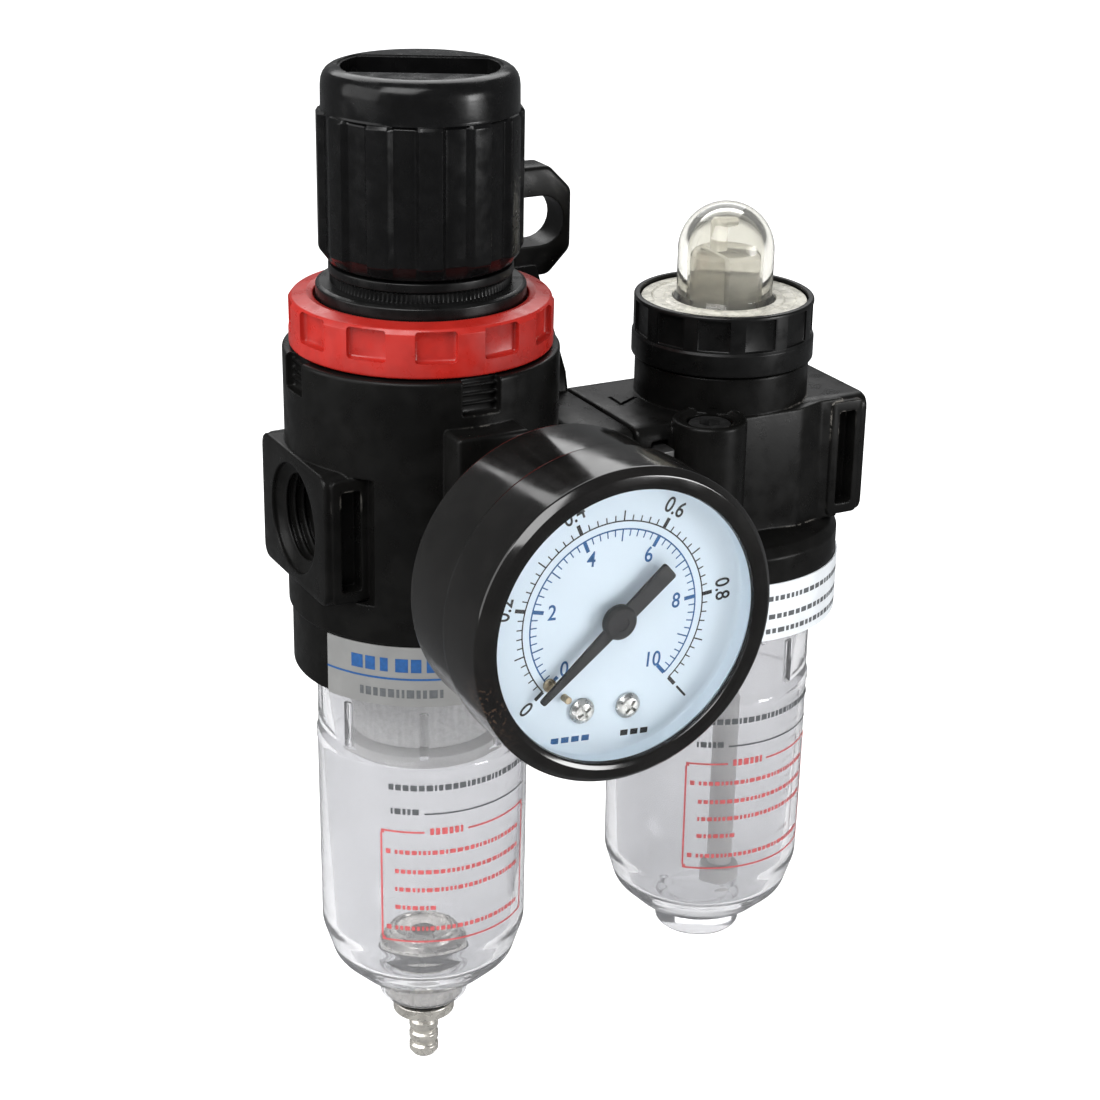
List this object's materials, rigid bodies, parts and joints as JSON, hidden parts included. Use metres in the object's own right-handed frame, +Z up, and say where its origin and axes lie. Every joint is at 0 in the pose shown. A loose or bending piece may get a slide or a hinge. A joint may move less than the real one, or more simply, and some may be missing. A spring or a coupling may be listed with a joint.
{
  "type": "filter regulator lubricator",
  "caption": "Modular air preparation set: filter regulator with round dial gauge and clear bowl, joined by a slotted wall bracket to a lubricator with sight dome and clear oil bowl.",
  "frame": {"origin": "centre of the bracket's slot, on the mounting face that lies against the wall or panel", "axes": "+Z up along the bowls, +Y out of the mounting face towards the wall, +X the direction of air flow from inlet to outlet"},
  "size_m": [0.0912, 0.0859, 0.1601],
  "materials": {
    "painted_casting": "black paint, satin",
    "gauge_enamel": "black enamel, gloss",
    "black_plastic": "moulded, satin",
    "red_plastic": "moulded, satin",
    "clear_plastic": "clear polycarbonate",
    "dome_plastic": "clear, slightly yellow",
    "white_plastic": "moulded, matt",
    "filter_medium": "sintered, matt",
    "nickel": "nickel plated brass",
    "steel": "zinc plated",
    "brass": "machined",
    "rubber": "matt",
    "label_foil": "printed foil, no lettering",
    "dial_paper": "printed dial plate"
  },
  "bodies": {
    "set": {"fr_housing": "painted_casting", "bonnet": "black_plastic", "bonnet_ring_nut": "red_plastic", "adjusting_spring": "steel", "diaphragm": "rubber", "valve_spring": "steel", "valve_guide": "brass", "air_deflector": "white_plastic", "filter_element": "filter_medium", "element_baffle": "white_plastic", "fr_label_band": "label_foil", "lub_label_band": "label_foil", "gauge_case": "gauge_enamel", "gauge_bezel": "gauge_enamel", "gauge_lens": "clear_plastic", "gauge_dial": "dial_paper", "pointer_stop_pin": "brass", "dial_rivet": "brass", "dial_screw_left": "steel", "dial_screw_right": "steel", "gauge_movement": "brass", "gauge_socket": "brass", "bourdon_tube": "brass", "mounting_bracket": "painted_casting", "joint_o_ring_inlet": "rubber", "joint_o_ring_outlet": "rubber", "joint_keeper_front": "steel", "joint_keeper_rear": "steel", "keeper_screw_front": "steel", "keeper_screw_rear": "steel", "lubricator_housing": "painted_casting", "oil_fill_plug": "steel", "dome_ring_nut": "black_plastic", "dome_o_ring": "rubber", "drip_guide": "dome_plastic", "siphon_tube": "white_plastic", "siphon_strainer": "filter_medium"},
    "screw": {"adjusting_screw": "steel"},
    "knob": {"regulator_knob": "black_plastic"},
    "seat": {"spring_seat": "brass"},
    "plate": {"diaphragm_plate": "brass"},
    "valve": {"valve_poppet": "brass"},
    "pointer": {"gauge_pointer": "black_plastic", "pointer_arbor": "steel"},
    "filter_bowl_ring": {"filter_bowl_o_ring": "rubber"},
    "filter_bowl_set": {"filter_bowl": "clear_plastic", "drain_valve_body": "nickel", "drain_o_ring": "rubber", "drain_seal": "rubber"},
    "drain": {"drain_nipple": "nickel"},
    "oil_bowl_ring": {"oil_bowl_o_ring": "rubber"},
    "oil_bowl_set": {"oil_bowl": "clear_plastic"},
    "dome": {"sight_dome": "dome_plastic"},
    "ball": {"check_ball": "steel"}
  },
  "joints": [
    {"name": "knob_turn", "type": "hinge", "parent": "set", "child": "screw", "pos_m": [-0.025, -0.0255, 0.01], "axis": [0, 0, -1], "range_deg": [0, 1800]},
    {"name": "knob_pull", "type": "slide", "parent": "screw", "child": "knob", "axis": [0, 0, 1], "range_m": [0, 0.0025]},
    {"name": "seat_travel", "type": "slide", "parent": "set", "child": "seat", "axis": [0, 0, -1], "range_m": [0, 0.0063], "deforming": ["adjusting_spring"]},
    {"name": "diaphragm_travel", "type": "slide", "parent": "set", "child": "plate", "axis": [0, 0, -1], "range_m": [0, 0.0012], "deforming": ["diaphragm"]},
    {"name": "valve_travel", "type": "slide", "parent": "set", "child": "valve", "axis": [0, 0, -1], "range_m": [0, 0.00125], "stiffness_N_per_m": 400, "springref_m": -0.002, "deforming": ["valve_spring"]},
    {"name": "pointer_turn", "type": "hinge", "parent": "set", "child": "pointer", "pos_m": [-0.0238, -0.083, -0.0315], "axis": [0, 1, 0], "range_deg": [0, 270], "stiffness_Nm_per_rad": 0.00005, "springref_deg": -28.65},
    {"name": "filter_bowl_lower", "type": "slide", "parent": "set", "child": "filter_bowl_ring", "axis": [0, 0, -1], "range_m": [0, 0.0031]},
    {"name": "filter_bowl_turn", "type": "hinge", "parent": "filter_bowl_ring", "child": "filter_bowl_set", "pos_m": [-0.025, -0.0255, -0.08], "axis": [0, 0, -1], "range_deg": [0, 720]},
    {"name": "drain_turn", "type": "hinge", "parent": "filter_bowl_set", "child": "drain", "pos_m": [-0.025, -0.0255, -0.122], "axis": [0, 0, 1], "range_deg": [0, 180]},
    {"name": "oil_bowl_lower", "type": "slide", "parent": "set", "child": "oil_bowl_ring", "axis": [0, 0, -1], "range_m": [0, 0.0031]},
    {"name": "oil_bowl_turn", "type": "hinge", "parent": "oil_bowl_ring", "child": "oil_bowl_set", "pos_m": [0.026, -0.0255, -0.08], "axis": [0, 0, -1], "range_deg": [0, 720]},
    {"name": "drip_rate_turn", "type": "hinge", "parent": "set", "child": "dome", "pos_m": [0.026, -0.0255, -0.008], "axis": [0, 0, 1], "range_deg": [0, 270]},
    {"name": "check_ball_lift", "type": "slide", "parent": "set", "child": "ball", "axis": [0, 0, 1], "range_m": [0, 0.0015]}
  ],
  "couplings": [
    {"joint": "seat_travel", "follows": "knob_turn", "m_per_rad": 0.00019894},
    {"joint": "valve_travel", "follows": "diaphragm_travel", "ratio": 1},
    {"joint": "filter_bowl_lower", "follows": "filter_bowl_turn", "m_per_rad": 0.00023873},
    {"joint": "oil_bowl_lower", "follows": "oil_bowl_turn", "m_per_rad": 0.00023873}
  ]
}
